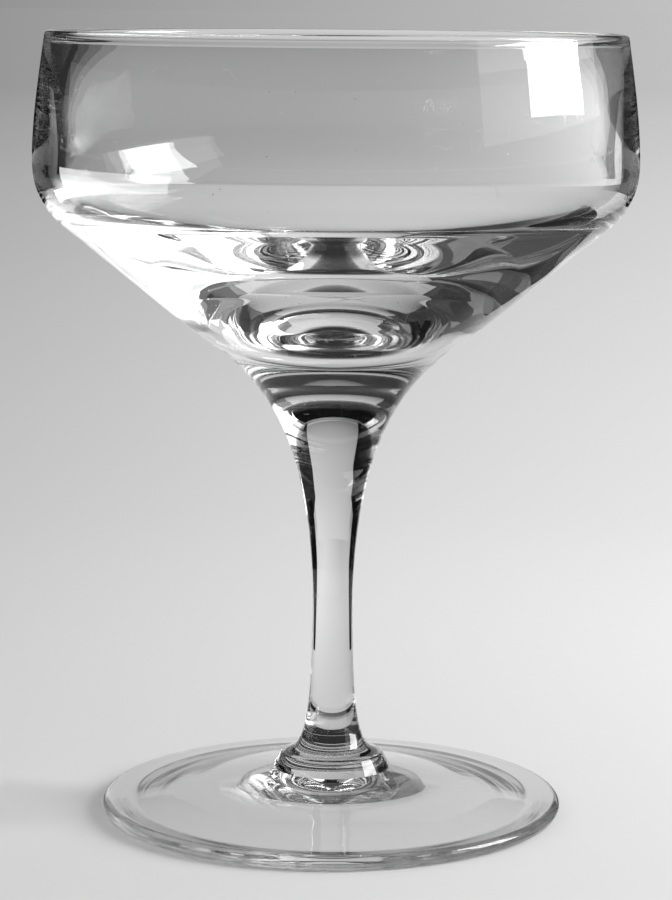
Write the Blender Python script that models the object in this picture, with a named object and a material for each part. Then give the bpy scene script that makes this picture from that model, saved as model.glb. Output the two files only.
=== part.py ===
"""Stemmed sherbet glass of clear soda glass: a blown bowl, a drawn stem and a spun foot, in metres, +Z up.

The three pieces are turned about the Z axis. The foot stands on the table at z = 0, the stem sits on the
foot's seat, and the bowl sits on the stem's head, each with a thin seam between them.
"""

import math

import bmesh
import bpy
from mathutils import Vector

# Foot
FOOT_RADIUS = 0.03725
FOOT_HEIGHT = 0.0070
FOOT_EDGE_THICKNESS = 0.0024
FOOT_TOP_SAG = 0.0004
FOOT_RING_WIDTH = 0.0040
FOOT_KICK_RISE = 0.0044

# Stem
PAD_TOP_RADIUS = 0.0082
PAD_FOOT_RADIUS = 0.0095
PAD_HEIGHT = 0.0024
PAD_EDGE_RADIUS = 0.0005
PAD_SLOPE = math.radians(7)
WAIST_RADIUS = 0.0033
WAIST_RISE = 0.0268
HEAD_DROP = 0.0116

# Flare from the stem's waist up to the bowl's cone
FLARE_RISE = 0.0458
CONE_FOOT_RADIUS = 0.02416

# Bowl, outside
CONE_ANGLE = math.radians(39.4)
SHOULDER_RADIUS = 0.01184
BOWL_RADIUS = 0.04806
RIM_RADIUS = 0.04601
WALL_HEIGHT = 0.0209
RIM_LEAN = math.radians(8.3)

# Bowl, inside
LIP_RADIUS = 0.0008
LIP_DEPTH = 0.0020
WALL_THICKNESS = 0.00135
BELLY_THICKNESS = 0.0025
CONE_TOP_THICKNESS = 0.0028
INNER_SHOULDER_RADIUS = 0.0080
FLOOR_REACH = 0.0089
FLOOR_RADIUS = 0.0310
BASE_THICKNESS = 0.0124

# Seam between two pieces
SEAM_GAP = 0.0003

# How far each end of a curve holds its direction, as a share of that curve's own reach
WAIST_PULL = 0.775
CONE_PULL = 0.18
ANKLE_PULL = 0.75
PAD_PULL = 0.77
WALL_PULL = 1 / 3

# Fineness of the turned shapes: steps round the axis, and along each stretch of an outline
TURN_STEPS = 56
LIP_STEPS = 8
WALL_STEPS = 6
SHOULDER_STEPS = 8
FLOOR_STEPS = 6
NECK_STEPS = 7
STEM_STEPS = 12
PAD_EDGE_STEPS = 3
FOOT_EDGE_STEPS = 8
FOOT_FACE_STEPS = 6
HALVINGS = 50
MERGE_DISTANCE = 1e-6
SMOOTH_ANGLE = math.radians(30)

# Finish of the clear glass
GLASS_COLOUR = (0.96, 0.97, 0.97, 1.0)
GLASS_ROUGHNESS = 0.02
GLASS_IOR = 1.52


def up_slope(angle):
    """Direction in the (radius, height) plane that climbs outwards at this angle above the level."""
    return Vector((math.cos(angle), math.sin(angle)))


def curve(start, start_handle, end_handle, end, steps):
    """Points of a cubic curve from start to end, both included."""
    points = []
    for step in range(steps + 1):
        t = step / steps
        points.append(
            (1 - t) ** 3 * start
            + 3 * (1 - t) ** 2 * t * start_handle
            + 3 * (1 - t) * t**2 * end_handle
            + t**3 * end
        )
    return points


def arc(centre, radius, start_angle, end_angle, steps):
    """Points of a circular arc from start_angle to end_angle, both included."""
    turn = end_angle - start_angle
    return [centre + radius * up_slope(start_angle + turn * step / steps) for step in range(steps + 1)]


def rounded(before, corner, after, radius, steps):
    """Arc that rounds a corner between two straight legs."""
    back = (before - corner).normalized()
    on = (after - corner).normalized()
    half_angle = back.angle(on) / 2
    centre = corner + (back + on).normalized() * radius / math.sin(half_angle)
    reach = radius / math.tan(half_angle)
    first = corner + back * reach - centre
    last = corner + on * reach - centre
    start_angle = math.atan2(first.y, first.x)
    turn = math.atan2(first.x * last.y - first.y * last.x, first.dot(last))
    return arc(centre, radius, start_angle, start_angle + turn, steps)


def seat_height():
    return FOOT_HEIGHT + SEAM_GAP


def waist_point():
    return Vector((WAIST_RADIUS, FOOT_HEIGHT + WAIST_RISE))


def cone_foot():
    return Vector((CONE_FOOT_RADIUS, waist_point().y + FLARE_RISE))


def cone_top():
    """Where the outer cone meets the shoulder's arc."""
    radius = BOWL_RADIUS - SHOULDER_RADIUS * (1 - math.sin(CONE_ANGLE))
    rise = (radius - CONE_FOOT_RADIUS) * math.tan(CONE_ANGLE)
    return Vector((radius, cone_foot().y + rise))


def belly_point():
    """The widest point of the bowl."""
    return Vector((BOWL_RADIUS, cone_top().y + SHOULDER_RADIUS * math.cos(CONE_ANGLE)))


def rim_height():
    return belly_point().y + WALL_HEIGHT


def joint_height():
    """Level of the seam where the bowl is stuck on the stem's head."""
    return cone_foot().y - HEAD_DROP


def flare(share):
    """A point of the flare, from 0 at the bowl's cone to 1 at the stem's waist."""
    top = cone_foot()
    waist = waist_point()
    top_handle = top - up_slope(CONE_ANGLE) * FLARE_RISE * CONE_PULL
    waist_handle = waist + Vector((0, FLARE_RISE * WAIST_PULL))
    rest = 1 - share
    return (
        rest**3 * top
        + 3 * rest**2 * share * top_handle
        + 3 * rest * share**2 * waist_handle
        + share**3 * waist
    )


def flare_share(height):
    """How far down the flare this height lies, found by halving."""
    low, high = 0.0, 1.0
    for _ in range(HALVINGS):
        middle = (low + high) / 2
        if flare(middle).y > height:
            low = middle
        else:
            high = middle
    return (low + high) / 2


def flare_run(top_height, bottom_height, steps):
    """Points of the flare between two heights, top to bottom."""
    start = flare_share(top_height)
    turn = flare_share(bottom_height) - start
    return [flare(start + turn * step / steps) for step in range(steps + 1)]


def wall_run(top, bottom, steps):
    """The upright wall from its lip down to its belly, where it stands plumb."""
    pull = (top.y - bottom.y) * WALL_PULL
    lean = Vector((math.tan(RIM_LEAN), -1)) * pull
    return curve(top, top + lean, bottom + Vector((0, pull)), bottom, steps)


def bowl_outside():
    """Outer outline of the bowl from the lip down to the seam."""
    shoulder_centre = belly_point() - Vector((SHOULDER_RADIUS, 0))
    lip_centre = Vector((RIM_RADIUS - LIP_RADIUS, rim_height() - LIP_RADIUS))
    lip = arc(lip_centre, LIP_RADIUS, math.pi, 0, LIP_STEPS)
    wall = wall_run(lip[-1], belly_point(), WALL_STEPS)
    shoulder = arc(shoulder_centre, SHOULDER_RADIUS, 0, CONE_ANGLE - math.pi / 2, SHOULDER_STEPS)
    neck = flare_run(cone_foot().y, joint_height(), NECK_STEPS)
    return lip + wall[1:] + shoulder[1:] + neck


def bowl_inside():
    """Inner outline of the bowl from the middle of its floor up to the lip."""
    high = cone_top() + up_slope(CONE_ANGLE + math.pi / 2) * CONE_TOP_THICKNESS
    floor_middle = Vector((0, joint_height() + BASE_THICKNESS))
    floor_corner = floor_middle + Vector((FLOOR_REACH, 0))
    along = high - floor_corner
    inner_angle = math.atan2(along.y, along.x)
    # The round between floor and cone is no wider than the floor
    floor_radius = min(FLOOR_RADIUS, FLOOR_REACH / math.tan(inner_angle / 2))
    floor_arc = rounded(floor_middle, floor_corner, high, floor_radius, FLOOR_STEPS)
    belly_radius = BOWL_RADIUS - BELLY_THICKNESS
    square = up_slope(inner_angle + math.pi / 2)
    middle_radius = belly_radius - INNER_SHOULDER_RADIUS
    middle_height = high.y + (INNER_SHOULDER_RADIUS - (middle_radius - high.x) * square.x) / square.y
    middle = Vector((middle_radius, middle_height))
    shoulder = arc(middle, INNER_SHOULDER_RADIUS, inner_angle - math.pi / 2, 0, SHOULDER_STEPS)
    wall_top = Vector((RIM_RADIUS - WALL_THICKNESS, rim_height() - LIP_DEPTH))
    wall_top.x += math.tan(RIM_LEAN) * (LIP_DEPTH - LIP_RADIUS)
    wall = wall_run(wall_top, shoulder[-1], WALL_STEPS)
    wall.reverse()
    return [floor_middle] + floor_arc + shoulder + wall[1:]


def bowl_outline():
    """The bowl from the middle of its floor, over the lip and down to the middle of its seam."""
    return bowl_inside() + bowl_outside() + [Vector((0, joint_height()))]


def stem_outline():
    """The stem from the middle of its head down to the middle of its pad."""
    head_height = joint_height() - SEAM_GAP
    waist = waist_point()
    head = flare_run(head_height, waist.y, STEM_STEPS)
    pad_top = Vector((PAD_TOP_RADIUS, FOOT_HEIGHT + PAD_HEIGHT))
    pad_foot = Vector((PAD_FOOT_RADIUS, seat_height()))
    ankle_pull = Vector((0, (waist.y - pad_top.y) * ANKLE_PULL))
    pad_pull = up_slope(math.pi - PAD_SLOPE) * (pad_top.x - waist.x) * PAD_PULL
    pad_edge = rounded(pad_top + pad_pull, pad_top, pad_foot, PAD_EDGE_RADIUS, PAD_EDGE_STEPS)
    ankle = curve(waist, waist - ankle_pull, pad_edge[0] + pad_pull, pad_edge[0], STEM_STEPS)
    middle = [Vector((0, seat_height()))]
    return [Vector((0, head_height))] + head + ankle[1:] + pad_edge[1:] + [pad_foot] + middle


def foot_outline():
    """The foot from the middle of its seat, round the edge and under to the middle of its kick."""
    edge_radius = FOOT_EDGE_THICKNESS / 2
    edge_centre = Vector((FOOT_RADIUS - edge_radius, edge_radius))
    seat_edge = Vector((PAD_FOOT_RADIUS, FOOT_HEIGHT))
    edge = arc(edge_centre, edge_radius, math.pi / 2, -math.pi / 2, FOOT_EDGE_STEPS)
    middle = (seat_edge + edge[0]) / 2 - Vector((0, 2 * FOOT_TOP_SAG))
    inner_handle = (seat_edge + 2 * middle) / 3
    outer_handle = (edge[0] + 2 * middle) / 3
    top = curve(seat_edge, inner_handle, outer_handle, edge[0], FOOT_FACE_STEPS)
    ring_inside = edge_centre.x - FOOT_RING_WIDTH
    kick_radius = (ring_inside**2 + FOOT_KICK_RISE**2) / (2 * FOOT_KICK_RISE)
    kick_centre = Vector((0, FOOT_KICK_RISE - kick_radius))
    kick_angle = math.acos(ring_inside / kick_radius)
    kick = arc(kick_centre, kick_radius, kick_angle, math.pi / 2, FOOT_FACE_STEPS)
    return [Vector((0, FOOT_HEIGHT))] + top + edge[1:] + kick


def clear_glass(name):
    material = bpy.data.materials.new(name)
    material.use_nodes = True
    shader = material.node_tree.nodes["Principled BSDF"]
    shader.inputs["Base Color"].default_value = GLASS_COLOUR
    shader.inputs["Roughness"].default_value = GLASS_ROUGHNESS
    shader.inputs["Metallic"].default_value = 0.0
    shader.inputs["IOR"].default_value = GLASS_IOR
    shader.inputs["Transmission Weight"].default_value = 1.0
    return material


def turned(name, outline):
    """An object made by turning an outline about the Z axis."""
    form = bmesh.new()
    verts = [form.verts.new((point.x, 0, point.y)) for point in outline]
    edges = [form.edges.new(pair) for pair in zip(verts, verts[1:])]
    bmesh.ops.spin(
        form,
        geom=verts + edges,
        cent=(0, 0, 0),
        axis=(0, 0, 1),
        angle=2 * math.pi,
        steps=TURN_STEPS,
        use_merge=True,
    )
    bmesh.ops.remove_doubles(form, verts=form.verts, dist=MERGE_DISTANCE)
    bmesh.ops.recalc_face_normals(form, faces=form.faces)
    mesh = bpy.data.meshes.new(name)
    form.to_mesh(mesh)
    form.free()
    mesh.shade_smooth()
    mesh.set_sharp_from_angle(angle=SMOOTH_ANGLE)
    mesh.materials.append(clear_glass(name + "_glass"))
    piece = bpy.data.objects.new(name, mesh)
    bpy.context.scene.collection.objects.link(piece)
    return piece


def main():
    for old in list(bpy.data.objects):
        bpy.data.objects.remove(old)
    turned("foot", foot_outline())
    turned("stem", stem_outline())
    turned("bowl", bowl_outline())


main()
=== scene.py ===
"""Looks of a clear stemmed sherbet glass: its pieces, its finish, the studio round it and the camera.

Laid out as a Blender 4.5 add-on and run as a script. Sizes are in metres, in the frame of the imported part,
with +Z up.
"""

import math

import bpy
from bpy.props import FloatProperty, FloatVectorProperty, IntProperty, PointerProperty
from mathutils import Matrix, Vector


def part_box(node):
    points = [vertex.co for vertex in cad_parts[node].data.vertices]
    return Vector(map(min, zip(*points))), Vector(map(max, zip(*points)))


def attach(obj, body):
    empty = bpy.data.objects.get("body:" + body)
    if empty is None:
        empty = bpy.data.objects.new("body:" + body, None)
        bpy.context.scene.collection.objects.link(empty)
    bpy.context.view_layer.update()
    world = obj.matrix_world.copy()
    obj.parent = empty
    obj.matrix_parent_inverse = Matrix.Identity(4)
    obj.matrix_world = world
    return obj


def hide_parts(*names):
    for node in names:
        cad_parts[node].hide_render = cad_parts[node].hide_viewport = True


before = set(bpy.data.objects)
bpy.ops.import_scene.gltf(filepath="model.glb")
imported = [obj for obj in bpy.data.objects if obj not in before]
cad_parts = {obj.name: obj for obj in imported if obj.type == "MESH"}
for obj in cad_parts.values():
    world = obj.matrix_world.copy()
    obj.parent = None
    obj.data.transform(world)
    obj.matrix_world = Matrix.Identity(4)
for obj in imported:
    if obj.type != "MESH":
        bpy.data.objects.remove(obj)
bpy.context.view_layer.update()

bl_info = {
    "name": "Sherbet glass",
    "version": (1, 0, 0),
    "blender": (4, 5, 0),
    "location": "View3D > Sidebar > Sherbet glass",
    "description": "Makes a clear stemmed sherbet glass and a small studio for it",
    "category": "Object",
}

BODY = "root"
LIGHT_BOUNCES = 64

BOWL_LOW, BOWL_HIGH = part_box("bowl")
_, FOOT_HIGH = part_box("foot")


def length(name, description, default):
    """A size in metres that a user can change."""
    return FloatProperty(name=name, description=description, default=default, unit="LENGTH", precision=5)


def angle(name, description, degrees):
    """An angle that a user can change."""
    return FloatProperty(name=name, description=description, default=math.radians(degrees), subtype="ANGLE")


def share(name, description, default):
    """A plain number that a user can change."""
    return FloatProperty(name=name, description=description, default=default)


def colour(name, description, default):
    """A colour that a user can change."""
    return FloatVectorProperty(
        name=name, description=description, default=default, size=3, subtype="COLOR", min=0.0, max=1.0
    )


class GlassSizes(bpy.types.PropertyGroup):
    """Sizes of the three pieces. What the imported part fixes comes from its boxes."""

    rim_height: length("Rim height", "Top of the lip above the table", BOWL_HIGH.z)
    joint_height: length("Joint height", "Where the bowl is stuck on the stem", BOWL_LOW.z)
    bowl_radius: length("Bowl radius", "Widest part of the bowl", BOWL_HIGH.x)
    rim_radius: length("Rim radius", "Outside of the lip", 0.04601)
    wall_height: length("Wall height", "Upright wall above the widest part", 0.0209)
    rim_lean: angle("Rim lean", "How far the wall leans in at the lip", 8.3)
    shoulder_radius: length("Shoulder radius", "Round of the shoulder outside", 0.01184)
    cone_angle: angle("Cone angle", "Slope of the cone above the level", 39.4)
    cone_foot_radius: length("Cone foot radius", "Where the cone passes into the flare", 0.02416)

    lip_radius: length("Lip radius", "Round of the lip", 0.0008)
    lip_depth: length("Lip depth", "How far the lip's bead runs down inside", 0.0020)
    wall_thickness: length("Wall thickness", "Wall just below the lip", 0.00135)
    belly_thickness: length("Belly thickness", "Wall at the widest part", 0.0025)
    cone_top_thickness: length("Cone top thickness", "Wall at the top of the cone", 0.0028)
    inner_shoulder_radius: length("Inner shoulder radius", "Round of the shoulder inside", 0.0080)
    floor_reach: length("Floor reach", "From the axis to where the cone inside meets the floor", 0.0089)
    floor_radius: length("Floor radius", "Round between the bowl's floor and cone", 0.0310)
    base_thickness: length("Base thickness", "Solid glass under the bowl's floor", 0.0124)

    waist_height: length("Waist height", "Thinnest part of the stem", 0.0338)
    waist_radius: length("Waist radius", "Radius of the stem there", 0.0033)
    pad_top_radius: length("Pad top radius", "Upper edge of the pad under the stem", 0.0082)
    pad_foot_radius: length("Pad foot radius", "Where the pad meets the foot", 0.0095)
    pad_height: length("Pad height", "Height of the pad above the foot", 0.0024)
    pad_edge_radius: length("Pad edge radius", "Round of the pad's upper edge", 0.0005)
    pad_slope: angle("Pad slope", "Slope of the pad's top", 7.0)

    foot_radius: length("Foot radius", "Outside of the foot", FOOT_HIGH.x)
    foot_height: length("Foot height", "Seat of the stem on the foot", FOOT_HIGH.z)
    foot_edge: length("Foot edge", "Thickness of the foot's edge", 0.0024)
    foot_sag: length("Foot sag", "How far the foot's top dips", 0.0004)
    foot_ring: length("Foot ring", "Width of the flat ring that it stands on", 0.0040)
    foot_kick: length("Foot kick", "Height of the hollow underneath", 0.0044)

    waist_pull: share("Waist pull", "How long the flare stays upright above the waist", 0.775)
    cone_pull: share("Cone pull", "How long the flare follows the cone", 0.18)
    ankle_pull: share("Ankle pull", "How long the stem stays upright below the waist", 0.75)
    pad_pull: share("Pad pull", "How far the pad's slope reaches into the stem", 0.77)
    turn_steps: IntProperty(name="Turn steps", description="Faces round the axis", default=240, min=16)


class GlassFinish(bpy.types.PropertyGroup):
    """Finish of the clear glass."""

    tint: colour("Tint", "Colour of the clear glass", (0.985, 0.99, 0.987))
    ior: share("Index", "Refractive index of soda glass", 1.52)
    scuff_haze: share("Scuff haze", "Roughness of the wiped patch on the wall", 0.16)
    scuff_turn: angle("Scuff turn", "Where that patch lies, round from the right", -40.0)
    scratch_haze: share("Scratch haze", "Roughness of a hairline scratch", 0.25)
    smudge_haze: share("Smudge haze", "Roughness of a finger mark", 0.035)
    dust_spacing: length("Dust spacing", "Room that one speck of dust has", 0.0032)
    dust_size: length("Dust size", "Radius of a speck", 0.00009)
    ripple: length("Ripple", "Height of the foot's ripples from spinning", 0.000025)
    ripple_pitch: length("Ripple pitch", "From one ripple to the next", 0.0068)


class Studio(bpy.types.PropertyGroup):
    """Floor, cards, light and camera."""

    floor_colour: colour("Floor colour", "Pale paper near the glass", (0.80, 0.80, 0.80))
    floor_reach: length("Floor reach", "Half the width of the floor", 40.0)
    floor_gap: length("Floor gap", "How far the floor lies under the foot", 0.00005)
    backdrop: share("Backdrop", "Tone of the background above the floor", 0.415)
    key_near: length("Key near edge", "From the glass to the soft light's edge by the camera", 1.25)
    key_near_turn: share("Key near turn", "Degrees to the right of straight back of that edge", 104.0)
    key_far: length("Key far edge", "From the glass to the soft light's other edge", 1.8)
    key_far_turn: share("Key far turn", "Degrees to the right of straight back of that edge", 75.0)
    key_low: length("Key low edge", "Height of its lower edge", 0.27)
    key_high: length("Key high edge", "Height of its upper edge", 1.3)
    key_power: share("Key power", "Power of the soft light in watts", 38.0)
    fill: share("Fill", "Even light on the floor", 0.52)
    camera_distance: length("Camera distance", "In front of the glass", 0.4684)
    camera_height: length("Camera height", "Above the table", 0.13049)
    camera_pitch: angle("Camera pitch", "How far it looks down", 8.673)
    camera_roll: angle("Camera roll", "Turn about its own axis", 0.45)
    camera_yaw: angle("Camera yaw", "Turn to the right", 0.0417)
    lens: share("Lens", "Focal length in millimetres on a 36 mm frame", 117.7)


def sizes():
    return bpy.context.scene.sherbet_sizes


def finish():
    return bpy.context.scene.sherbet_finish


def studio():
    return bpy.context.scene.sherbet_studio


# Outlines are lists of stretches. A stretch is a list of (point, direction) pairs in the (radius, height)
# plane.


def slope(turn):
    return Vector((math.cos(turn), math.sin(turn)))


def straight(start, end, steps=1):
    """A straight stretch."""
    way = (end - start).normalized()
    return [(start.lerp(end, step / steps), way) for step in range(steps + 1)]


def arc(centre, radius, start, end, steps):
    """A round stretch from one angle to another."""
    turn = 1 if end > start else -1
    stretch = []
    for step in range(steps + 1):
        at = start + (end - start) * step / steps
        stretch.append((centre + radius * slope(at), slope(at + turn * math.pi / 2)))
    return stretch


def curve(start, start_handle, end_handle, end, steps, first=0.0, last=1.0):
    """A stretch of a cubic curve, or the part of it from first to last."""
    stretch = []
    for step in range(steps + 1):
        t = first + (last - first) * step / steps
        u = 1 - t
        point = u**3 * start + 3 * u * u * t * start_handle + 3 * u * t * t * end_handle + t**3 * end
        way = u * u * (start_handle - start) + 2 * u * t * (end_handle - start_handle)
        way += t * t * (end - end_handle)
        stretch.append((point, way.normalized()))
    return stretch


def rounded(before, corner, after, radius, steps):
    """A round stretch that eases a corner between two straight legs."""
    back = (before - corner).normalized()
    on = (after - corner).normalized()
    half = back.angle(on) / 2
    centre = corner + (back + on).normalized() * radius / math.sin(half)
    reach = radius / math.tan(half)
    first = corner + back * reach - centre
    last = corner + on * reach - centre
    start = math.atan2(first.y, first.x)
    turn = math.atan2(first.x * last.y - first.y * last.x, first.dot(last))
    return arc(centre, radius, start, start + turn, steps)


HALVINGS = 50


class Shape:
    """Places that the three outlines share, worked out from the sizes."""

    def __init__(self, s):
        self.belly = Vector((s.bowl_radius, s.rim_height - s.wall_height))
        top_radius = s.bowl_radius - s.shoulder_radius * (1 - math.sin(s.cone_angle))
        self.cone_top = Vector((top_radius, self.belly.y - s.shoulder_radius * math.cos(s.cone_angle)))
        drop = (top_radius - s.cone_foot_radius) * math.tan(s.cone_angle)
        self.cone_foot = Vector((s.cone_foot_radius, self.cone_top.y - drop))
        self.waist = Vector((s.waist_radius, s.waist_height))
        rise = self.cone_foot.y - self.waist.y
        self.flare = (
            self.cone_foot,
            self.cone_foot - slope(s.cone_angle) * rise * s.cone_pull,
            self.waist + Vector((0, rise * s.waist_pull)),
            self.waist,
        )
        self.seam = self.flare_share(s.joint_height)

    def flare_share(self, height):
        """How far down the flare this height lies, found by halving."""
        low, high = 0.0, 1.0
        for _ in range(HALVINGS):
            middle = (low + high) / 2
            point = curve(*self.flare, 1, middle, middle)[0][0]
            low, high = (middle, high) if point.y > height else (low, middle)
        return (low + high) / 2


def wall(top, bottom, lean, steps):
    """The upright wall, from its top down to its plumb foot."""
    pull = (top.y - bottom.y) / 3
    return curve(top, top + Vector((math.tan(lean), -1)) * pull, bottom + Vector((0, pull)), bottom, steps)


def backwards(stretch):
    return [(point, -way) for point, way in reversed(stretch)]


def bowl_outline(s):
    """From the middle of the bowl's floor, over the lip and down to the middle of its seam."""
    shape = Shape(s)
    high = shape.cone_top + slope(s.cone_angle + math.pi / 2) * s.cone_top_thickness
    middle = Vector((0, s.joint_height + s.base_thickness))
    corner = middle + Vector((s.floor_reach, 0))
    along = high - corner
    inner_angle = math.atan2(along.y, along.x)
    floor_radius = min(s.floor_radius, s.floor_reach / math.tan(inner_angle / 2))
    floor_round = rounded(middle, corner, high, floor_radius, steps=24)
    inner_radius = s.bowl_radius - s.belly_thickness - s.inner_shoulder_radius
    square = slope(inner_angle + math.pi / 2)
    rise = (s.inner_shoulder_radius - (inner_radius - high.x) * square.x) / square.y
    centre = Vector((inner_radius, high.y + rise))
    inner_shoulder = arc(centre, s.inner_shoulder_radius, inner_angle - math.pi / 2, 0, steps=28)
    wall_top = Vector((s.rim_radius - s.wall_thickness, s.rim_height - s.lip_depth))
    wall_top.x += math.tan(s.rim_lean) * (s.lip_depth - s.lip_radius)
    inner_wall = backwards(wall(wall_top, inner_shoulder[-1][0], s.rim_lean, steps=16))
    lip_centre = Vector((s.rim_radius - s.lip_radius, s.rim_height - s.lip_radius))
    lip = arc(lip_centre, s.lip_radius, math.pi, 0, steps=16)
    bead = curve(
        wall_top,
        wall_top + slope(math.pi / 2 + s.rim_lean) * s.lip_depth / 4,
        lip[0][0] - Vector((0, s.lip_depth / 4)),
        lip[0][0],
        steps=6,
    )
    outer_centre = shape.belly - Vector((s.shoulder_radius, 0))
    return [
        straight(middle, floor_round[0][0], steps=8),
        floor_round,
        straight(floor_round[-1][0], inner_shoulder[0][0], steps=16),
        inner_shoulder,
        inner_wall,
        bead,
        lip,
        wall(lip[-1][0], shape.belly, s.rim_lean, steps=16),
        arc(outer_centre, s.shoulder_radius, 0, s.cone_angle - math.pi / 2, steps=28),
        straight(shape.cone_top, shape.cone_foot, steps=16),
        curve(*shape.flare, steps=24, last=shape.seam),
    ]


def stem_outline(s):
    """From the rim of its head down to the edge of its pad."""
    shape = Shape(s)
    pad_top = Vector((s.pad_top_radius, s.foot_height + s.pad_height))
    pad_foot = Vector((s.pad_foot_radius, s.foot_height))
    pull = slope(math.pi - s.pad_slope) * (pad_top.x - s.waist_radius) * s.pad_pull
    edge = rounded(pad_top + pull, pad_top, pad_foot, s.pad_edge_radius, steps=8)
    drop = Vector((0, (shape.waist.y - pad_top.y) * s.ankle_pull))
    return [
        curve(*shape.flare, steps=48, first=shape.seam),
        curve(shape.waist, shape.waist - drop, edge[0][0] + pull, edge[0][0], steps=48),
        edge,
        straight(edge[-1][0], pad_foot, steps=4),
    ]


def rippled(stretch):
    """The same stretch with faint rings from spinning, which die out at both ends."""
    f = finish()
    start, end = stretch[0][0].x, stretch[-1][0].x
    rings = []
    for point, way in stretch:
        along = (point.x - start) / (end - start)
        swell = f.ripple * math.sin(math.pi * along)
        turn = 2 * math.pi * (point.x - start) / f.ripple_pitch
        lift = swell * (math.cos(turn) - 1)
        tilt = -swell * math.sin(turn) * 2 * math.pi / f.ripple_pitch
        rings.append((point + Vector((0, lift)), (way + Vector((0, tilt * way.x))).normalized()))
    return rings


def foot_outline(s):
    """From the edge of its seat, round the rim and under to the middle of its kick."""
    edge_radius = s.foot_edge / 2
    centre = Vector((s.foot_radius - edge_radius, edge_radius))
    seat_edge = Vector((s.pad_foot_radius, s.foot_height))
    edge = arc(centre, edge_radius, math.pi / 2, -math.pi / 2, steps=20)
    sag = (seat_edge + edge[0][0]) / 2 - Vector((0, 2 * s.foot_sag))
    handles = (seat_edge + 2 * sag) / 3, (edge[0][0] + 2 * sag) / 3
    top = rippled(curve(seat_edge, *handles, edge[0][0], steps=96))
    ring_inside = centre.x - s.foot_ring
    kick_radius = (ring_inside**2 + s.foot_kick**2) / (2 * s.foot_kick)
    kick_centre = Vector((0, s.foot_kick - kick_radius))
    kick_start = math.acos(ring_inside / kick_radius)
    return [
        top,
        edge,
        straight(edge[-1][0], Vector((ring_inside, 0)), steps=4),
        arc(kick_centre, kick_radius, kick_start, math.pi / 2, steps=40),
    ]


def cap_in(outline):
    """A flat joint face from the axis out to the outline's start."""
    rim = outline[0][0][0]
    return straight(Vector((0, rim.y)), rim, steps=4)


def cap_out(outline):
    """A flat joint face from the outline's end in to the axis."""
    rim = outline[-1][-1][0]
    return straight(rim, Vector((0, rim.y)), steps=4)


# Stretches join smoothly where the cosine between their normals is above SMOOTH_JOIN.
SMOOTH_JOIN = 0.94
SAME_PLACE = 1e-7
ON_AXIS = 1e-6


def outward(way):
    return Vector((-way.y, way.x))


def rings_and_spans(stretches, joints):
    """Rings of a turned piece, and the spans between them: first ring, normals at both ends, is a joint."""
    rings, spans = [], []
    for number, stretch in enumerate(stretches):
        for index, (point, way) in enumerate(stretch):
            if not rings or (point - rings[-1]).length > SAME_PLACE:
                rings.append(point.copy())
            if index:
                start_normal = outward(stretch[index - 1][1])
                spans.append([len(rings) - 2, start_normal, outward(way), number in joints])
    for before, after in zip(spans, spans[1:]):
        if before[2].dot(after[1]) > SMOOTH_JOIN and before[3] == after[3]:
            before[2] = after[1] = (before[2] + after[1]).normalized()
    return rings, spans


def swung(flat, turn, steps):
    """A place or direction of the (radius, height) plane, swung round the axis by some of the steps."""
    at = 2 * math.pi * turn / steps
    return (flat.x * math.cos(at), flat.x * math.sin(at), flat.y)


def turned(name, stretches, joints, steps):
    """A closed piece turned about the Z axis. Faces of the stretches in joints get the second material."""
    rings, spans = rings_and_spans(stretches, joints)
    verts, starts = [], []
    for point in rings:
        starts.append(len(verts))
        if point.x < ON_AXIS:
            verts.append((0, 0, point.y))
        else:
            verts.extend(swung(point, step, steps) for step in range(steps))
    faces, normals, slots = [], [], []
    for ring, start_normal, end_normal, is_joint in spans:
        for step in range(steps):
            after = (step + 1) % steps
            corners = {}
            for place, turn, normal in (
                (ring, step, start_normal),
                (ring + 1, step, end_normal),
                (ring + 1, after, end_normal),
                (ring, after, start_normal),
            ):
                vert = starts[place] if rings[place].x < ON_AXIS else starts[place] + turn
                corners.setdefault(vert, swung(normal, turn, steps))
            faces.append(list(corners))
            normals.extend(corners.values())
            slots.append(1 if is_joint else 0)
    mesh = bpy.data.meshes.new(name)
    mesh.from_pydata(verts, [], faces)
    mesh.polygons.foreach_set("material_index", slots)
    mesh.shade_smooth()
    mesh.normals_split_custom_set(normals)
    mesh.update()
    piece = bpy.data.objects.new(name, mesh)
    bpy.context.scene.collection.objects.link(piece)
    return piece


def new_material(name):
    """An empty node material and its output."""
    made = bpy.data.materials.new(name)
    made.use_nodes = True
    made.node_tree.nodes.clear()
    return made, made.node_tree, made.node_tree.nodes.new("ShaderNodeOutputMaterial")


def fill_ramp(ramp, stops):
    """Greys of a colour ramp from (position, tone) pairs."""
    while len(ramp.elements) < len(stops):
        ramp.elements.new(0.5)
    for element, (place, tone) in zip(ramp.elements, stops):
        element.position = place
        element.color = (tone, tone, tone, 1)


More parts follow.
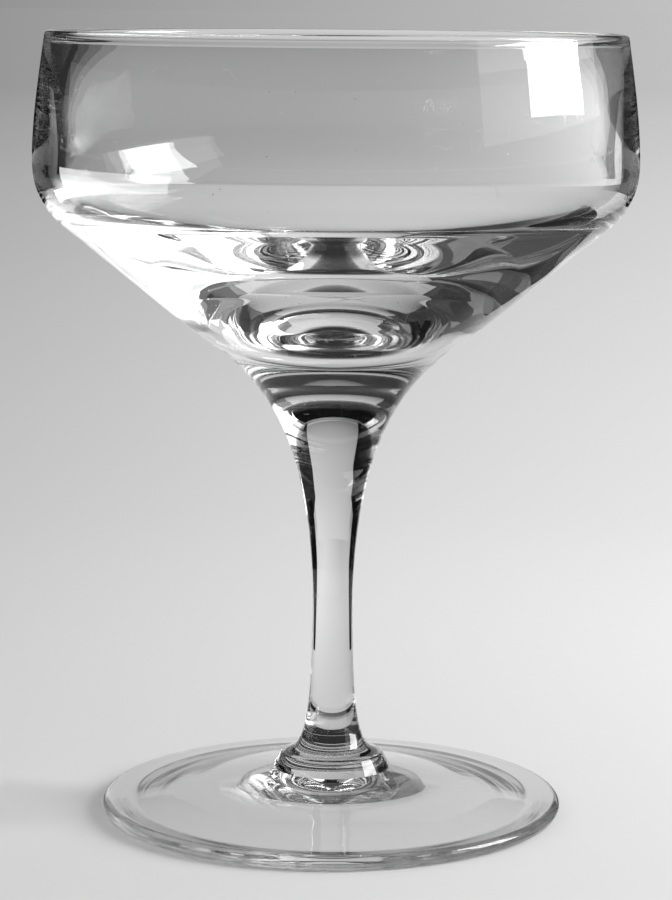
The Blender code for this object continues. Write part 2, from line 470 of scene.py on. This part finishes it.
class Nodes:
    """Short ways to add and join nodes of one tree."""

    def __init__(self, tree):
        self.tree = tree

    def add(self, kind, **settings):
        node = self.tree.nodes.new(kind)
        for name, value in settings.items():
            setattr(node, name, value)
        return node

    def put(self, value, socket):
        """Link a socket, or set a plain value."""
        if isinstance(value, bpy.types.NodeSocket):
            self.tree.links.new(value, socket)
        else:
            socket.default_value = value

    def maths(self, operation, *values, clamp=False):
        node = self.add("ShaderNodeMath", operation=operation, use_clamp=clamp)
        for socket, value in zip(node.inputs, values):
            self.put(value, socket)
        return node.outputs[0]

    def ramp(self, place, stops):
        node = self.add("ShaderNodeValToRGB")
        fill_ramp(node.color_ramp, stops)
        self.put(place, node.inputs["Fac"])
        return node.outputs["Color"]

    def between(self, value, low, high, to_low=0.0, to_high=1.0, smooth=False):
        node = self.add("ShaderNodeMapRange", interpolation_type="SMOOTHSTEP" if smooth else "LINEAR")
        for socket, number in zip(node.inputs, (value, low, high, to_low, to_high)):
            self.put(number, socket)
        return node.outputs["Result"]

    def mixed(self, part, first, second):
        node = self.add("ShaderNodeMix", data_type="RGBA")
        self.put(part, node.inputs["Factor"])
        self.put(first, node.inputs["A"])
        self.put(second, node.inputs["B"])
        return node.outputs["Result"]

    def tinted(self, scale, tint):
        """A colour made lighter or darker."""
        node = self.add("ShaderNodeVectorMath", operation="SCALE")
        node.inputs[0].default_value = tint
        self.put(scale, node.inputs["Scale"])
        return node.outputs[0]

    def split(self, coordinates):
        """Position or direction, split into its three parts."""
        node = self.add("ShaderNodeSeparateXYZ")
        self.put(self.add("ShaderNodeTexCoord").outputs[coordinates], node.inputs[0])
        return node.outputs

    def clear_but(self, part, surface, output):
        """Puts a surface on the output by a part. The rest of it is clear."""
        mix = self.add("ShaderNodeMixShader")
        self.put(part, mix.inputs["Fac"])
        self.put(self.add("ShaderNodeBsdfTransparent").outputs[0], mix.inputs[1])
        self.put(surface, mix.inputs[2])
        self.put(mix.outputs[0], output.inputs["Surface"])


def dust_specks(n, place):
    """1 on a speck of dust, 0 between them."""
    f = finish()
    cells = n.add("ShaderNodeTexVoronoi", feature="F1")
    n.put(place, cells.inputs["Vector"])
    cells.inputs["Scale"].default_value = 1 / f.dust_spacing
    return n.maths("LESS_THAN", cells.outputs["Distance"], f.dust_size / f.dust_spacing)


def noise(n, place, size, stretch=(1, 1, 1), detail=2.0, distortion=0.0):
    """A cloudy pattern whose clouds are about this size, shorter along the stretched axes."""
    scaled = n.add("ShaderNodeVectorMath", operation="MULTIPLY")
    n.put(place, scaled.inputs[0])
    scaled.inputs[1].default_value = stretch
    cloud = n.add("ShaderNodeTexNoise")
    n.put(scaled.outputs[0], cloud.inputs["Vector"])
    cloud.inputs["Scale"].default_value = 1 / size
    cloud.inputs["Detail"].default_value = detail
    cloud.inputs["Distortion"].default_value = distortion
    return cloud.outputs["Fac"]


def near_level(n, value, level, width):
    """1 along the thin line where a pattern passes a level, 0 off it."""
    return n.maths("LESS_THAN", n.maths("ABSOLUTE", n.maths("SUBTRACT", value, level)), width)


# Finish: where each mark fades in and out (radians or metres), the size of its pattern and its levels.
SCUFF_ASIDE = (0.34, 0.08)
SCUFF_FOOT = (0.1, 0.106)
SCUFF_TOP = (0.122, 0.113)
WISP_SIZE, WISP_STRETCH, WISP_LEVELS = 0.0016, (1, 1, 0.35), (0.5, 0.72)
SCRATCH_SIZE, SCRATCH_STRETCH, SCRATCH_WIDTH = 0.011, (1, 1, 0.3), 0.0011
SCRATCH_BREAK_SIZE, SCRATCH_BREAK_LEVEL = 0.006, 0.56
SMUDGE_SIZE, SMUDGE_LEVELS, SMUDGE_FOOT = 0.013, (0.60, 0.70), (0.101, 0.108)


def scuffed_patch(n, place, parts):
    """Soft mask of the patch on the upright wall that wiping has dulled."""
    f = finish()
    turn = n.maths("ARCTAN2", parts["Y"], parts["X"])
    aside = n.maths("ABSOLUTE", n.maths("SUBTRACT", turn, f.scuff_turn))
    across = n.between(aside, *SCUFF_ASIDE, smooth=True)
    up = n.between(parts["Z"], *SCUFF_FOOT, smooth=True)
    down = n.between(parts["Z"], *SCUFF_TOP, smooth=True)
    cloud = noise(n, place, WISP_SIZE, WISP_STRETCH, detail=4.0, distortion=2.2)
    wisps = n.between(cloud, *WISP_LEVELS)
    patch = n.maths("MULTIPLY", across, n.maths("MULTIPLY", up, down))
    return n.maths("MULTIPLY", patch, wisps)


def polished_glass():
    """Clear soda glass with a wiped patch, hairline scratches, faint finger marks and a little dust."""
    f = finish()
    made, tree, out = new_material("polished_glass")
    n = Nodes(tree)
    place = n.add("ShaderNodeTexCoord").outputs["Object"]
    parts = n.split("Object")
    scuffs = n.maths("MULTIPLY", scuffed_patch(n, place, parts), f.scuff_haze)
    hairs = noise(n, place, SCRATCH_SIZE, SCRATCH_STRETCH, detail=1.0, distortion=0.6)
    lines = near_level(n, hairs, 0.5, SCRATCH_WIDTH)
    broken = n.maths("GREATER_THAN", noise(n, place, SCRATCH_BREAK_SIZE), SCRATCH_BREAK_LEVEL)
    scratches = n.maths("MULTIPLY", n.maths("MULTIPLY", lines, broken), f.scratch_haze)
    on_wall = n.between(parts["Z"], *SMUDGE_FOOT)
    marks = n.between(noise(n, place, SMUDGE_SIZE, detail=3.0), *SMUDGE_LEVELS)
    smudges = n.maths("MULTIPLY", n.maths("MULTIPLY", marks, on_wall), f.smudge_haze)
    shader = n.add("ShaderNodeBsdfPrincipled")
    shader.inputs["Base Color"].default_value = (*f.tint, 1)
    shader.inputs["IOR"].default_value = f.ior
    n.put(n.maths("MAXIMUM", n.maths("MAXIMUM", scuffs, smudges), scratches), shader.inputs["Roughness"])
    n.put(n.maths("SUBTRACT", 1.0, dust_specks(n, place)), shader.inputs["Transmission Weight"])
    n.put(shader.outputs[0], out.inputs["Surface"])
    return made


def fused_joint():
    """Joint faces inside the glass, which can't be seen because the pieces are fused."""
    made, tree, out = new_material("fused_joint")
    shader = tree.nodes.new("ShaderNodeBsdfTransparent")
    tree.links.new(shader.outputs[0], out.inputs["Surface"])
    return made


def glass_piece(name, node, stretches, joints):
    """A turned glass piece that stands for a CAD node."""
    piece = turned(name, stretches, joints, sizes().turn_steps)
    for made in (polished_glass, fused_joint):
        known = bpy.data.materials.get(made.__name__)
        piece.data.materials.append(known or made())
    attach(piece, BODY)
    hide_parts(node)
    return piece


class SHERBET_OT_bowl(bpy.types.Operator):
    """Make the bowl"""

    bl_idname = "sherbet.bowl"
    bl_label = "Bowl"

    def execute(self, context):
        outline = bowl_outline(sizes())
        stretches = outline + [cap_out(outline)]
        glass_piece("glass_bowl", "bowl", stretches, {len(outline)})
        return {"FINISHED"}


class SHERBET_OT_stem(bpy.types.Operator):
    """Make the stem with its pad"""

    bl_idname = "sherbet.stem"
    bl_label = "Stem"

    def execute(self, context):
        outline = stem_outline(sizes())
        stretches = [cap_in(outline)] + outline + [cap_out(outline)]
        glass_piece("glass_stem", "stem", stretches, {0, len(outline) + 1})
        return {"FINISHED"}


class SHERBET_OT_foot(bpy.types.Operator):
    """Make the foot"""

    bl_idname = "sherbet.foot"
    bl_label = "Foot"

    def execute(self, context):
        outline = foot_outline(sizes())
        glass_piece("glass_foot", "foot", [cap_in(outline)] + outline, {0})
        return {"FINISHED"}


def stage_sheet(name, corners, material):
    """A flat sheet of the stage with straight edges."""
    mesh = bpy.data.meshes.new(name)
    mesh.from_pydata(corners, [], [list(range(len(corners)))])
    mesh.materials.append(material)
    sheet = bpy.data.objects.new(name, mesh)
    bpy.context.scene.collection.objects.link(sheet)
    return sheet


def hidden_card(name, corners, material):
    """A card that is shown only by reflection and refraction."""
    card = stage_sheet(name, corners, material)
    card.visible_camera = False
    card.visible_diffuse = False
    card.visible_shadow = False
    return card


def standing(start, end, low, high):
    """Corners of an upright card between two places on the floor."""
    return [(*start, low), (*end, low), (*end, high), (*start, high)]


def from_axis(degrees, distance):
    """A place on the floor at an angle to the right of straight back."""
    turn = math.radians(degrees)
    return (distance * math.sin(turn), distance * math.cos(turn))


def grey(tone):
    return (tone, tone, tone, 1.0)


def card_material(name, low, high, stops, lean=0.0):
    """A glowing card. Its tone runs up through the stops and grows to the right by the lean per metre."""
    made, tree, out = new_material(name)
    n = Nodes(tree)
    glow = n.add("ShaderNodeEmission")
    place = n.split("Object")
    tone = n.ramp(n.between(place["Z"], low, high), stops)
    n.put(n.maths("ADD", tone, n.maths("MULTIPLY", place["X"], lean)), glow.inputs["Color"])
    n.put(glow.outputs[0], out.inputs["Surface"])
    return made


def plain_card(name, tone):
    """A glowing card of one tone."""
    return card_material(name, 0.0, 1.0, [(0.0, tone), (1.0, tone)])


# Light is told apart by how often it has passed a face of the glass (Transmission Depth) and how often it has
# turned back at one (Glossy Depth). More passes than WALLS_PASSED: through both walls of the bowl. Fewer
# turns than STRAIGHT: none. More turns than GUIDED: led along inside the glass.
WALLS_PASSED = 3.0
STRAIGHT = 0.5
GUIDED = 1.5

# The pale card through the bowl: its tone, and the painted light that it gains to the right, far right and
# low down.
THROUGH_TONE, THROUGH_LEAN, THROUGH_LIFT = 0.68, 0.4, 24.0
THROUGH_LOW_HEIGHT, THROUGH_LOW_GAIN = 0.03, 3.0
SECOND_IMAGE = 0.15


def through_bowl(n, path):
    """1 for light that has passed both walls of the bowl, 0 for other light."""
    return n.maths("GREATER_THAN", path.outputs["Transmission Depth"], WALLS_PASSED)


def tone_through_bowl(material):
    """Sets how bright a card looks through both walls of the bowl. Its second images there are dim."""
    n = Nodes(material.node_tree)
    place = n.split("Object")
    path = n.add("ShaderNodeLightPath")
    # Painted light: through both walls the card is made brighter to the right, far right and low down.
    right = n.maths("MAXIMUM", place["X"], 0.0)
    lift = n.maths("MULTIPLY", n.maths("MULTIPLY", right, right), THROUGH_LIFT)
    below = n.maths("MAXIMUM", n.maths("SUBTRACT", THROUGH_LOW_HEIGHT, place["Z"]), 0.0)
    low = n.maths("MULTIPLY", below, THROUGH_LOW_GAIN)
    lean = n.maths("ADD", n.maths("MULTIPLY", place["X"], THROUGH_LEAN), THROUGH_TONE)
    tone = n.maths("ADD", n.maths("ADD", lift, low), lean)
    image = n.between(path.outputs["Glossy Depth"], 0.0, 1.0, 1.0, SECOND_IMAGE)
    walls = through_bowl(n, path)
    glow = next(node for node in material.node_tree.nodes if node.type == "EMISSION")
    n.put(n.between(walls, 0.0, 1.0, 1.0, n.maths("MULTIPLY", tone, image)), glow.inputs["Strength"])


def show_part(material, n, part):
    """Shows a material only by a part, which can differ from one kind of light to another."""
    output = next(node for node in material.node_tree.nodes if node.type == "OUTPUT_MATERIAL")
    n.clear_but(part, output.inputs["Surface"].links[0].from_socket, output)
    return material


def shown_where(material, depth, test, limit, part=1.0):
    """Shows a card only to light whose depth of this kind passes the test, and to that by a part."""
    n = Nodes(material.node_tree)
    passed = n.maths(test, n.add("ShaderNodeLightPath").outputs[depth], limit)
    return show_part(material, n, n.maths("MULTIPLY", passed, part))


def shown_by_turns(material, test, turns, part=1.0):
    """Shows a card only to light that has turned more or less often than this inside the glass."""
    return shown_where(material, "Glossy Depth", test, turns, part)


def hidden_through_bowl(material):
    """Hides a card from light that has passed both walls of the bowl."""
    return shown_where(material, "Transmission Depth", "LESS_THAN", WALLS_PASSED)


def guided_card(name, tone):
    """A card that shows only to light that the cone or the stem has led along inside."""
    return hidden_through_bowl(shown_by_turns(plain_card(name, tone), "GREATER_THAN", GUIDED))


# The tall flags stand at FLAG_RADIUS. Light from the stem, within STEM_REACH of the axis, has the longest way
# there, and so it is told apart from light out of the bowl.
FLAG_RADIUS = 0.22
STEM_REACH = 0.013


def flag_material(name, tone):
    """A dark flag for the stem and the edges of the bowl. It doesn't show straight through the bowl."""
    made = plain_card(name, tone)
    n = Nodes(made.node_tree)
    path = n.add("ShaderNodeLightPath")
    turned_once = n.maths("COMPARE", path.outputs["Glossy Depth"], 1.0, 0.5)
    from_stem = n.maths("GREATER_THAN", path.outputs["Ray Length"], FLAG_RADIUS - STEM_REACH)
    unturned = n.maths("LESS_THAN", path.outputs["Glossy Depth"], STRAIGHT)
    show_part(made, n, n.maths("MAXIMUM", turned_once, n.maths("MULTIPLY", from_stem, unturned)))
    return hidden_through_bowl(made)


# Painted reflection: a dark sheet that the glass reflects where the pale floor lies.
DARK_REFLECTION_TONE = 0.01
DARK_REFLECTION_FADE = (math.radians(18), math.radians(55))


def fading_cloth():
    """A painted dark reflection: a dark sheet on the floor that only reflections show, which fades out
    towards the back.
    """
    made, tree, out = new_material("painted_dark_reflection")
    n = Nodes(tree)
    place = n.split("Object")
    turn = n.maths("ABSOLUTE", n.maths("ARCTAN2", place["X"], place["Y"]))
    glow = n.add("ShaderNodeEmission")
    glow.inputs["Color"].default_value = grey(DARK_REFLECTION_TONE)
    n.clear_but(n.between(turn, *DARK_REFLECTION_FADE, smooth=True), glow.outputs[0], out)
    return made


GLOW_FADE = (0.5, 0.2)


def soft_glow(name, strength):
    """A glow that fades out towards the edges of its card."""
    made, tree, out = new_material(name)
    n = Nodes(tree)
    place = n.split("Generated")
    across = n.maths("POWER", n.maths("SUBTRACT", place["X"], 0.5), 2.0)
    up = n.maths("POWER", n.maths("SUBTRACT", place["Z"], 0.5), 2.0)
    reach = n.maths("SQRT", n.maths("ADD", across, up))
    glow = n.add("ShaderNodeEmission")
    glow.inputs["Strength"].default_value = strength
    n.clear_but(n.between(reach, *GLOW_FADE, smooth=True), glow.outputs[0], out)
    return made


# Floor: tones of its glow from the glass out to FAR_REACH, painted light that falls off away from the glass
# and dips under the foot as painted shade, how much lighter its right side is painted near the glass and
# further off, where the lit paper passes into the painted glow, and how dim it is in second images and, as
# painted shade, in reflections near the glass.
FAR_REACH = 4.0
FAR_PAINTED_TONES = [
    (0.0, 0.60),
    (0.0125, 0.63),
    (0.03, 0.70),
    (0.057, 0.70),
    (0.096, 0.66),
    (0.16, 0.617),
    (0.27, 0.565),
    (0.54, 0.49),
    (1.0, 0.42),
]
NEAR_SIDES, NEAR_PAINTED_LIGHT = (-0.1, 0.1), (0.85, 1.15)
VIEW_SIDES, VIEW_START, FAR_PAINTED_LEAN = (-0.115, 0.115), 0.47, (-0.11, 0.11)
LIT_FADE = (0.08, 0.30)
SHADE_FADE = (0.14, 0.08)
BOUNCED_DIM, IMAGE_DIM = 0.95, 0.85

# Room: tones from left to right that the glass reflects, and how the backdrop leans: painted light that makes
# it lighter on the right.
ROOM_TONES = [(0.0, 0.06), (0.06, 0.03), (0.15, 0.004), (0.88, 0.004), (0.95, 0.06), (1.0, 0.20)]
BACKDROP_PAINTED_LEAN = (-0.12, 0.12)


def paper_floor():
    """Pale paper: lit near the glass; further off, and wherever seen through the glass, a glow of painted
    light that darkens away from the glass and is lighter on the right.
    """
    st = studio()
    made, tree, out = new_material("pale_paper_and_painted_glow")
    n = Nodes(tree)
    place = n.split("Object")
    square = n.maths("ADD", n.maths("POWER", place["X"], 2.0), n.maths("POWER", place["Y"], 2.0))
    reach = n.maths("SQRT", square)
    lit = n.add("ShaderNodeBsdfDiffuse")
    # Painted light: the paper's colour is darker on the left and lighter on the right, where the soft light
    # stands.
    side = n.between(place["X"], *NEAR_SIDES, *NEAR_PAINTED_LIGHT)
    n.put(n.tinted(side, st.floor_colour), lit.inputs["Color"])
    # Painted light: the glow falls off away from the glass and leans lighter to the right; painted shade
    # lowers it under the foot.
    tone = n.ramp(n.maths("DIVIDE", reach, FAR_REACH), FAR_PAINTED_TONES)
    aside = n.maths("DIVIDE", place["X"], n.maths("ADD", reach, VIEW_START))
    lean = n.between(aside, *VIEW_SIDES, *FAR_PAINTED_LEAN)
    glow = n.add("ShaderNodeEmission")
    n.put(n.maths("ADD", tone, lean), glow.inputs["Color"])
    path = n.add("ShaderNodeLightPath")
    # Painted shade: the glow is dimmed in reflections near the glass and in second images.
    bounced = n.maths("MINIMUM", path.outputs["Glossy Depth"], BOUNCED_DIM)
    shaded = n.maths("MULTIPLY", bounced, n.between(reach, *SHADE_FADE, smooth=True))
    image = n.maths("MULTIPLY", n.maths("MINIMUM", bounced, IMAGE_DIM), through_bowl(n, path))
    dim = n.maths("MAXIMUM", n.maths("MAXIMUM", shaded, image), path.outputs["Diffuse Depth"])
    n.put(n.maths("SUBTRACT", 1.0, dim, clamp=True), glow.inputs["Strength"])
    mix = n.add("ShaderNodeMixShader")
    far = n.between(reach, *LIT_FADE, smooth=True)
    n.put(n.maths("MAXIMUM", far, path.outputs["Is Transmission Ray"]), mix.inputs["Fac"])
    n.put(lit.outputs[0], mix.inputs[1])
    n.put(glow.outputs[0], mix.inputs[2])
    n.put(mix.outputs[0], out.inputs["Surface"])
    return made


def room_world():
    """A pale background for the camera, a dark room for the glass and an even fill for the floor."""
    st = studio()
    world = bpy.data.worlds.new("studio_room")
    bpy.context.scene.world = world
    world.use_nodes = True
    world.node_tree.nodes.clear()
    n = Nodes(world.node_tree)
    way = n.split("Generated")
    room = n.ramp(n.between(way["X"], -1.0, 1.0), ROOM_TONES)
    path = n.add("ShaderNodeLightPath")
    # Painted light: the background for the camera grows lighter to the right.
    backdrop = n.maths("ADD", n.between(way["X"], *VIEW_SIDES, *BACKDROP_PAINTED_LEAN), st.backdrop)
    unturned = n.maths("LESS_THAN", path.outputs["Glossy Depth"], STRAIGHT)
    through = n.maths("MULTIPLY", path.outputs["Is Transmission Ray"], unturned)
    seen = n.mixed(n.maths("MAXIMUM", path.outputs["Is Camera Ray"], through), room, backdrop)
    lit = n.mixed(n.maths("MINIMUM", path.outputs["Diffuse Depth"], 1.0), seen, grey(st.fill))
    background = n.add("ShaderNodeBackground")
    n.put(lit, background.inputs["Color"])
    n.put(background.outputs[0], n.add("ShaderNodeOutputWorld").inputs["Surface"])


RING_STEPS = 24


def ring_part(start, end, near, far, level):
    """Corners of a part of a flat ring between two angles and two radii."""
    turns = [start + (end - start) * step / RING_STEPS for step in range(RING_STEPS + 1)]
    inner = [(*from_axis(turn, near), level) for turn in turns]
    return inner + [(*from_axis(turn, far), level) for turn in reversed(turns)]


def round_card(name, side, turns, radius, material):
    """A card whose corners stand at one radius: (degrees from straight back to this side, height) pairs."""
    corners = [(*from_axis(side * turn, radius), height) for turn, height in turns]
    return hidden_card(name, corners, material)


# Painted light: the pale card glows, darker upwards and lighter to the right.
PALE_BACK, PALE_REACH, PALE_HEIGHT, PALE_LEAN = 0.64, 0.36, 0.56, 0.35
PALE_TONES = [(0.0, 0.68), (0.1, 0.62), (0.2, 0.55), (0.42, 0.48), (0.85, 0.30), (1.0, 0.25)]


def pale_card():
    """The pale card behind the glass, which shows through the bowl."""
    pale = card_material("pale_card", 0.0, PALE_HEIGHT, PALE_TONES, PALE_LEAN)
    tone_through_bowl(pale)
    corners = standing((-PALE_REACH, PALE_BACK), (PALE_REACH, PALE_BACK), 0.0, PALE_HEIGHT)
    hidden_card("pale_card", corners, pale)


LEFT, RIGHT = -1, 1
FLAG_TOP, FLAG_FOOT, FLAG_END = 0.40, 0.056, 66
LEFT_EDGE = [(20.8, FLAG_TOP), (20.8, 0.105), (22, 0.095), (24.5, 0.086), (25, 0.068), (33, FLAG_FOOT)]
RIGHT_EDGE = [(24.5, FLAG_TOP), (24.5, 0.10), (25.5, 0.085), (26.2, 0.068), (33, FLAG_FOOT)]
LEFT_DARK, RIGHT_DARK = 0.004, 0.02
LOW_FLAG = [(33, 0.06), (35, 0.03), (46, 0.0), (58, 0.0), (80, 0.06)]
LOW_FLAG_RADIUS, LOW_FLAG_DARK = 0.10, 0.004


def stem_flags():
    """Dark flags on both sides that edge the stem: a tall one, and a low one nearer the glass."""
    low_dark = plain_card("low_flag", LOW_FLAG_DARK)
    hidden_through_bowl(shown_by_turns(low_dark, "LESS_THAN", GUIDED))
    for side, tone, edge in ((LEFT, LEFT_DARK, LEFT_EDGE), (RIGHT, RIGHT_DARK, RIGHT_EDGE)):
        tall = edge + [(FLAG_END, FLAG_FOOT), (FLAG_END, FLAG_TOP)]
        round_card("tall_flag", side, tall, FLAG_RADIUS, flag_material("tall_flag", tone))
        round_card("low_flag", side, LOW_FLAG, LOW_FLAG_RADIUS, low_dark)


WALL_TOP, WALL_FOOT = 0.128, 0.0965
WALL_EDGE = [(33.2, WALL_TOP), (33.2, 0.119), (35, 0.111), (36.7, 0.105), (38, 0.101), (39.5, 0.099)]
WALL_EDGE += [(41.5, WALL_FOOT)]
WALL_BACK = [(44.5, WALL_FOOT), (44.5, 0.1015), (66, 0.11), (66, WALL_TOP)]
WALL_RADIUS, WALL_LAYER = 0.10, 0.0002
WALL_SPREAD, WALL_SPREAD_HEIGHT = 57.0, 0.0985
WALL_DARKS = {LEFT: (0.95, 0.5, 0.35, 0.25), RIGHT: (0.45, 0.15, 0.1, 0.1)}


def wall_flags():
    """Layers of thin dark flags that shade the edges of the upright wall, each reaching further in."""
    for side, darks in WALL_DARKS.items():
        for number, dark in enumerate(darks):
            shade = shown_by_turns(plain_card("wall_shade", 0.0), "LESS_THAN", STRAIGHT, dark)
            edge = []
            for turn, height in WALL_EDGE:
                spread = max(1.0, 1.0 + WALL_SPREAD * (height - WALL_SPREAD_HEIGHT))
                edge.append((turn - number * spread, height))
            radius = WALL_RADIUS + WALL_LAYER * number
            round_card("wall_shade", side, edge + WALL_BACK, radius, shade).visible_glossy = False


def floor_cloths():
    """Cards on the floor that only the glass shows: a painted dark reflection all round, and on the left a
    painted bright reflection and a dim painted light.
    """
    corners = ring_part(start=-15, end=-345, near=0.038, far=12.0, level=0.0005)
    hidden_card("painted_dark_reflection", corners, fading_cloth()).visible_transmission = False
    corners = ring_part(start=-48, end=-118, near=0.30, far=2.2, level=0.0006)
    hidden_card("left_shine", corners, plain_card("left_shine", tone=5.0)).visible_transmission = False
    # Painted light: a dim glowing patch on the left, seen only by light the glass has led along inside.
    corners = ring_part(start=-38, end=-105, near=0.3, far=3.0, level=0.0007)
    hidden_card("painted_dim_light", corners, guided_card("painted_dim_light", tone=0.08)).visible_glossy = False


BRIGHT_RADIUS, BRIGHT_START, BRIGHT_END, BRIGHT_TONE = 2.0, 64, 125, 1.25
TENT_TURNS = [30, 46, 61, 76, 91, 106, 121, 136, 151, 166]
TENT_LOW_RADIUS, TENT_LOW_HEIGHT, TENT_LOW_END = 1.2, 0.45, 136
TENT_HIGH_RADIUS, TENT_HIGH_HEIGHT = 0.75, 0.95
TENT_TOP_RADIUS, TENT_TOP_HEIGHT, TENT_TOP_START = 0.28, 1.3, 76
# Tones of a side of the tent: its first strip, and then its plain and streaked strips by turns.
TENT_TONES = {RIGHT: (0.22, 1.8, 1.8), LEFT: (0.05, 0.10, 0.24)}


def tent_cards():
    """A bright card on the right, and a tent of cards, bright on the right and dim on the left."""
    ends = [from_axis(turn, BRIGHT_RADIUS) for turn in (BRIGHT_START, BRIGHT_END)]
    hidden_card("bright_card", standing(*ends, low=0.25, high=1.6), plain_card("bright_card", BRIGHT_TONE))
    for side, (first, plain, streak) in TENT_TONES.items():
        for number, (start, end) in enumerate(zip(TENT_TURNS, TENT_TURNS[1:])):
            near, far = side * start, side * end
            tone = streak if number % 2 else plain
            strip = guided_card("guided_card", tone if number else first)
            foot = from_axis(near, TENT_LOW_RADIUS), from_axis(far, TENT_LOW_RADIUS)
            low_card = standing(*foot, 0.0, TENT_LOW_HEIGHT)
            high_card = low_card[2:]
            high_card += [(*from_axis(turn, TENT_HIGH_RADIUS), TENT_HIGH_HEIGHT) for turn in (near, far)]
            top_card = high_card[:1:-1]
            top_card += [(*from_axis(turn, TENT_TOP_RADIUS), TENT_TOP_HEIGHT) for turn in (near, far)]
            if end <= TENT_LOW_END:
                hidden_card("low_card", low_card, strip).visible_glossy = False
            hidden_card("high_card", high_card, strip).visible_glossy = False
            if start >= TENT_TOP_START:
                hidden_card("top_card", top_card, strip).visible_glossy = False
    # Painted light: a glowing pool on the floor on the right, seen only by light the glass has led along
    # inside.
    corners = ring_part(start=52, end=125, near=0.14, far=1.2, level=0.0004)
    hidden_card("painted_light_pool", corners, guided_card("painted_light_pool", tone=1.8)).visible_glossy = False


GLOW_BACK, GLOW_START, GLOW_END = 0.06, -0.095, -0.036


def wall_glow():
    """The soft bright patch that shows through the bowl on the left of its wall."""
    glow = shown_by_turns(soft_glow("left_glow", strength=1.6), "LESS_THAN", STRAIGHT)
    shown_where(glow, "Transmission Depth", "GREATER_THAN", WALLS_PASSED)
    corners = standing((GLOW_START, GLOW_BACK), (GLOW_END, GLOW_BACK), low=0.06, high=0.097)
    hidden_card("left_glow", corners, glow).visible_glossy = False


def soft_light():
    """The large soft light on the right."""
    st = studio()
    lamp = bpy.data.lights.new("key", "AREA")
    lamp.shape = "RECTANGLE"
    lamp.size_y = st.key_high - st.key_low
    lamp.energy = st.key_power
    near = Vector(from_axis(st.key_near_turn, st.key_near))
    far = Vector(from_axis(st.key_far_turn, st.key_far))
    lamp.size = (far - near).length
    key = bpy.data.objects.new("key", lamp)
    bpy.context.scene.collection.objects.link(key)
    middle = (near + far) / 2
    key.location = (middle.x, middle.y, (st.key_low + st.key_high) / 2)
    across = far - near
    key.rotation_euler = (math.pi / 2, 0, math.atan2(across.y, across.x))
    key.visible_camera = False


SENSOR_WIDTH = 36.0
CLIP_START = 0.01


def camera():
    """The camera at the photograph's angle."""
    st = studio()
    lens = bpy.data.cameras.new("camera")
    lens.lens = st.lens
    lens.sensor_width = SENSOR_WIDTH
    lens.clip_start = CLIP_START
    made = bpy.data.objects.new("camera", lens)
    bpy.context.scene.collection.objects.link(made)
    turn = (
        Matrix.Rotation(-st.camera_yaw, 4, "Z")
        @ Matrix.Rotation(math.pi / 2 - st.camera_pitch, 4, "X")
        @ Matrix.Rotation(st.camera_roll, 4, "Z")
    )
    made.matrix_world = Matrix.Translation((0, -st.camera_distance, st.camera_height)) @ turn
    bpy.context.scene.camera = made


class SHERBET_OT_stage(bpy.types.Operator):
    """Make the floor, cards, light, room and camera"""

    bl_idname = "sherbet.stage"
    bl_label = "Stage"

    def execute(self, context):
        st = studio()
        reach = st.floor_reach
        corners = [(-reach, -reach, 0), (reach, -reach, 0), (reach, reach, 0), (-reach, reach, 0)]
        floor = stage_sheet("paper_floor", corners, paper_floor())
        floor.location.z = -st.floor_gap
        for make in (pale_card, stem_flags, wall_flags, floor_cloths, tent_cards, wall_glow, soft_light):
            make()
        room_world()
        camera()
        scene = bpy.context.scene
        scene.view_settings.view_transform = "Standard"
        scene.cycles.max_bounces = LIGHT_BOUNCES
        scene.cycles.transmission_bounces = LIGHT_BOUNCES
        scene.cycles.glossy_bounces = LIGHT_BOUNCES
        scene.cycles.transparent_max_bounces = LIGHT_BOUNCES
        return {"FINISHED"}


class SHERBET_PT_panel(bpy.types.Panel):
    """Buttons and sizes of the sherbet glass"""

    bl_idname = "SHERBET_PT_panel"
    bl_label = "Sherbet glass"
    bl_space_type = "VIEW_3D"
    bl_region_type = "UI"
    bl_category = "Sherbet glass"

    def draw(self, context):
        for operator in OPERATORS:
            self.layout.operator(operator.bl_idname)
        for group in (sizes(), finish(), studio()):
            box = self.layout.box()
            for name in group.bl_rna.properties.keys():
                if name not in ("rna_type", "name"):
                    box.prop(group, name)


OPERATORS = (SHERBET_OT_bowl, SHERBET_OT_stem, SHERBET_OT_foot, SHERBET_OT_stage)
CLASSES = (GlassSizes, GlassFinish, Studio) + OPERATORS + (SHERBET_PT_panel,)


def register():
    for made in CLASSES:
        bpy.utils.register_class(made)
    bpy.types.Scene.sherbet_sizes = PointerProperty(type=GlassSizes)
    bpy.types.Scene.sherbet_finish = PointerProperty(type=GlassFinish)
    bpy.types.Scene.sherbet_studio = PointerProperty(type=Studio)


def unregister():
    del bpy.types.Scene.sherbet_studio
    del bpy.types.Scene.sherbet_finish
    del bpy.types.Scene.sherbet_sizes
    for made in reversed(CLASSES):
        bpy.utils.unregister_class(made)


def main():
    register()
    bpy.ops.sherbet.bowl()
    bpy.ops.sherbet.stem()
    bpy.ops.sherbet.foot()
    bpy.ops.sherbet.stage()


if __name__ == "__main__":
    main()
